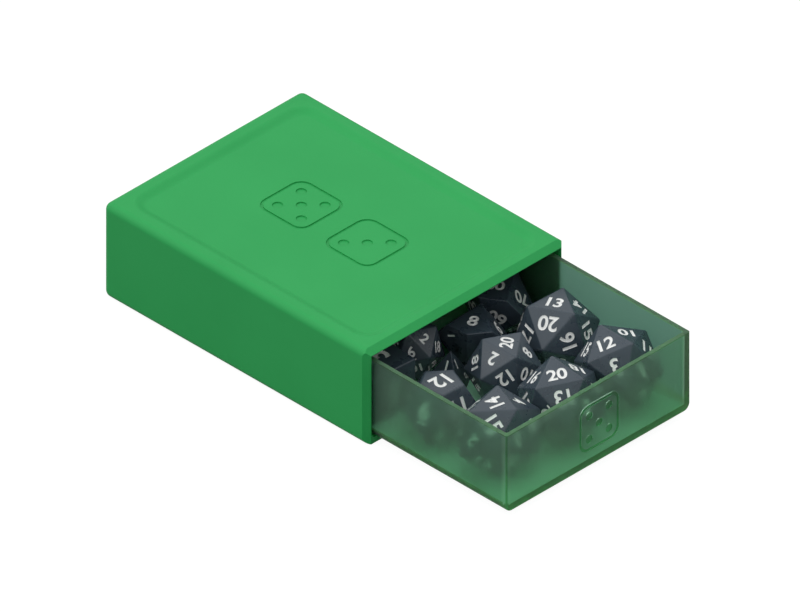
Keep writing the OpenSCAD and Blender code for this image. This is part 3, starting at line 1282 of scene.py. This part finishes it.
DICE: list[Die] = [
    Die(
        "d20_front_left", Shape.D20, 20 * MM, (14, -29, 151),
        {"c0": ("14", 120), "c1": ("15", 0), "c4": ("4", 240), "c3": ("6", 120), "u0": ("17", 180)},
    ),
    Die(
        "d20_front_middle", Shape.D20, 20 * MM, (13, -34, 169),
        {"c0": ("20", 240), "c4": ("18", 0), "c1": ("13", 120), "u0": ("16", 300)},
    ),
    Die(
        "d20_front_right", Shape.D20, 20 * MM, (-2, -29, 178),
        {"c0": ("12", 240), "c4": ("10", 0), "c3": ("11", 120), "c1": ("3", 120), "u0": ("15", 300)},
    ),
    Die(
        "d20_middle", Shape.D20, 17.5 * MM, (-24, -35, -160),
        {
            "c0": ("2", 120), "c4": ("20", 120), "c3": ("8", 240),
            "c1": ("12", 120), "c2": ("10", 240), "u0": ("18", 180),
        },
    ),
    Die(
        "d20_right", Shape.D20, 20 * MM, (23, -28, 136),
        {
            "c0": ("13", 240), "c1": ("20", 120), "c2": ("16", 240),
            "c3": ("15", 120), "c4": ("14", 0), "u1": ("17", 60),
        },
    ),
    Die("d20_small", Shape.D20, 14.5 * MM, (27, 12, 0), {"c0": ("2", 120), "u0": ("18", 60)}),
    Die("d12", Shape.D12, 17 * MM, (0, 0, -4), {"top": ("12", 0), "u0": ("11", 0)}),
    Die("d10_tens", Shape.D10, 15 * MM, (0, -45, -82), {"u0": ("00", 330), "u1": ("70", 180)}, TENS),
    Die("d10_units", Shape.D10, 14 * MM, (0, -45, -60), {"u0": ("8", 0), "u1": ("6", 0), "l2": ("9", 180)}),
    Die("d6", Shape.D6, 15 * MM, (0, 0, -4), {"top": ("3", 90)}),
    Die("d4", Shape.D4, 15 * MM, (0, 0, 92)),
]


@dataclass(frozen=True)
class Lamp:
    """A wide soft lamp, far away."""

    name: str
    stands: Triple
    strength: float
    spread: float

    def make(self) -> None:
        """Hangs the lamp so that it shines from its side towards the object."""
        light = bpy.data.lights.new(self.name, "SUN")
        light.energy = self.strength
        light.angle = math.radians(self.spread)
        item = bpy.data.objects.new(self.name, light)
        item.rotation_mode = "QUATERNION"
        item.rotation_quaternion = Vector(self.stands).to_track_quat("Z", "Y")
        bpy.context.scene.collection.objects.link(item)


@dataclass(frozen=True)
class Studio:
    """Camera, lights and floor of the picture."""

    frame_width: float = 0.21436
    aim: Triple = (0.02483, 0.00006, 0.015)
    back: Triple = (0.5792, -0.5792, 0.5736)
    distance: float = 0.6
    clip: tuple[float, float] = (0.01, 5)
    sky: float = 0.42
    floor_half: float = 3
    floor_drop: float = 0.1 * MM
    floor_bounce: float = 0.14
    floor_seen: float = 0.12
    floor_white: float = 0.94
    floor_roughness: float = 0.9
    floor_gloss: float = 0.35
    floor_through: float = 0.05
    lamps: tuple[Lamp, ...] = (
        Lamp("overhead", (-0.54, 0.12, 0.84), 1.08, 90),
        Lamp("left", (-0.4, -0.86, 0.3), 1.62, 100),
        Lamp("back", (0.66, 0.42, 0.62), 1.2, 120),
    )

    def camera(self) -> None:
        """Makes the level-sided camera that looks down from the left of the mouth."""
        lens = bpy.data.cameras.new("camera")
        lens.type = "ORTHO"
        lens.ortho_scale = self.frame_width
        lens.clip_start, lens.clip_end = self.clip
        item = bpy.data.objects.new("camera", lens)
        back = Vector(self.back).normalized()
        item.location = Vector(self.aim) + back * self.distance
        item.rotation_mode = "QUATERNION"
        item.rotation_quaternion = (-back).to_track_quat("-Z", "Y")
        bpy.context.scene.collection.objects.link(item)
        bpy.context.scene.camera = item

    def lights(self) -> None:
        """Hangs the lamps and makes an even sky that shows white."""
        for lamp in self.lamps:
            lamp.make()
        world = bpy.data.worlds.new("sky")
        world.use_nodes = True
        tree = world.node_tree
        tree.nodes.clear()
        path = tree.nodes.new("ShaderNodeLightPath")
        strength = tree.nodes.new("ShaderNodeMapRange")
        strength.inputs["To Min"].default_value = self.sky
        strength.inputs["To Max"].default_value = 1
        backdrop = tree.nodes.new("ShaderNodeBackground")
        output = tree.nodes.new("ShaderNodeOutputWorld")
        tree.links.new(path.outputs["Is Camera Ray"], strength.inputs["Value"])
        tree.links.new(strength.outputs[0], backdrop.inputs["Strength"])
        tree.links.new(backdrop.outputs[0], output.inputs["Surface"])
        bpy.context.scene.world = world

    def floor(self) -> None:
        """Makes the plain pale floor, which shows white and keeps a faint shadow."""
        bm = bmesh.new()
        bmesh.ops.create_grid(bm, x_segments=1, y_segments=1, size=self.floor_half)
        bmesh.ops.translate(bm, vec=(0, 0, -self.floor_drop), verts=bm.verts)
        mesh = bpy.data.meshes.new("floor")
        bm.to_mesh(mesh)
        bm.free()
        board = NodeBoard("pale_floor")
        path = board.add("ShaderNodeLightPath")
        seen = Value(board, path.outputs["Is Camera Ray"])
        mirrored = Value(board, path.outputs["Is Glossy Ray"]) * self.floor_gloss
        behind = Value(board, path.outputs["Is Transmission Ray"]) * self.floor_through
        glow = seen.larger(mirrored).larger(behind)
        hidden, shown, white = self.floor_bounce, self.floor_seen, self.floor_white
        shader = board.add(
            "ShaderNodeBsdfPrincipled",
            inputs={
                "Base Color": board.blend(seen, (hidden, hidden, hidden, 1), (shown, shown, shown, 1)),
                "Roughness": self.floor_roughness,
                "Specular IOR Level": 0.0,
                "Emission Color": board.blend(glow, (0, 0, 0, 1), (white, white, white, 1)),
                "Emission Strength": 1.0,
            },
        )
        mesh.materials.append(board.surface(shader))
        item = bpy.data.objects.new("floor", mesh)
        bpy.context.scene.collection.objects.link(item)

    def build(self) -> None:
        """Makes the whole studio."""
        self.camera()
        self.lights()
        self.floor()
        bpy.context.scene.view_settings.view_transform = "Standard"


def main() -> None:
    """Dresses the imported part."""
    logging.basicConfig(level=logging.INFO, format="%(message)s")
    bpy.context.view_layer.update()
    Studio().build()
    Sleeve().build()
    Drawer().build()
    resin = [Charcoal().make(), NumberWhite().make()]
    for die in DICE:
        die.build(resin)


if __name__ == "__main__":
    main()
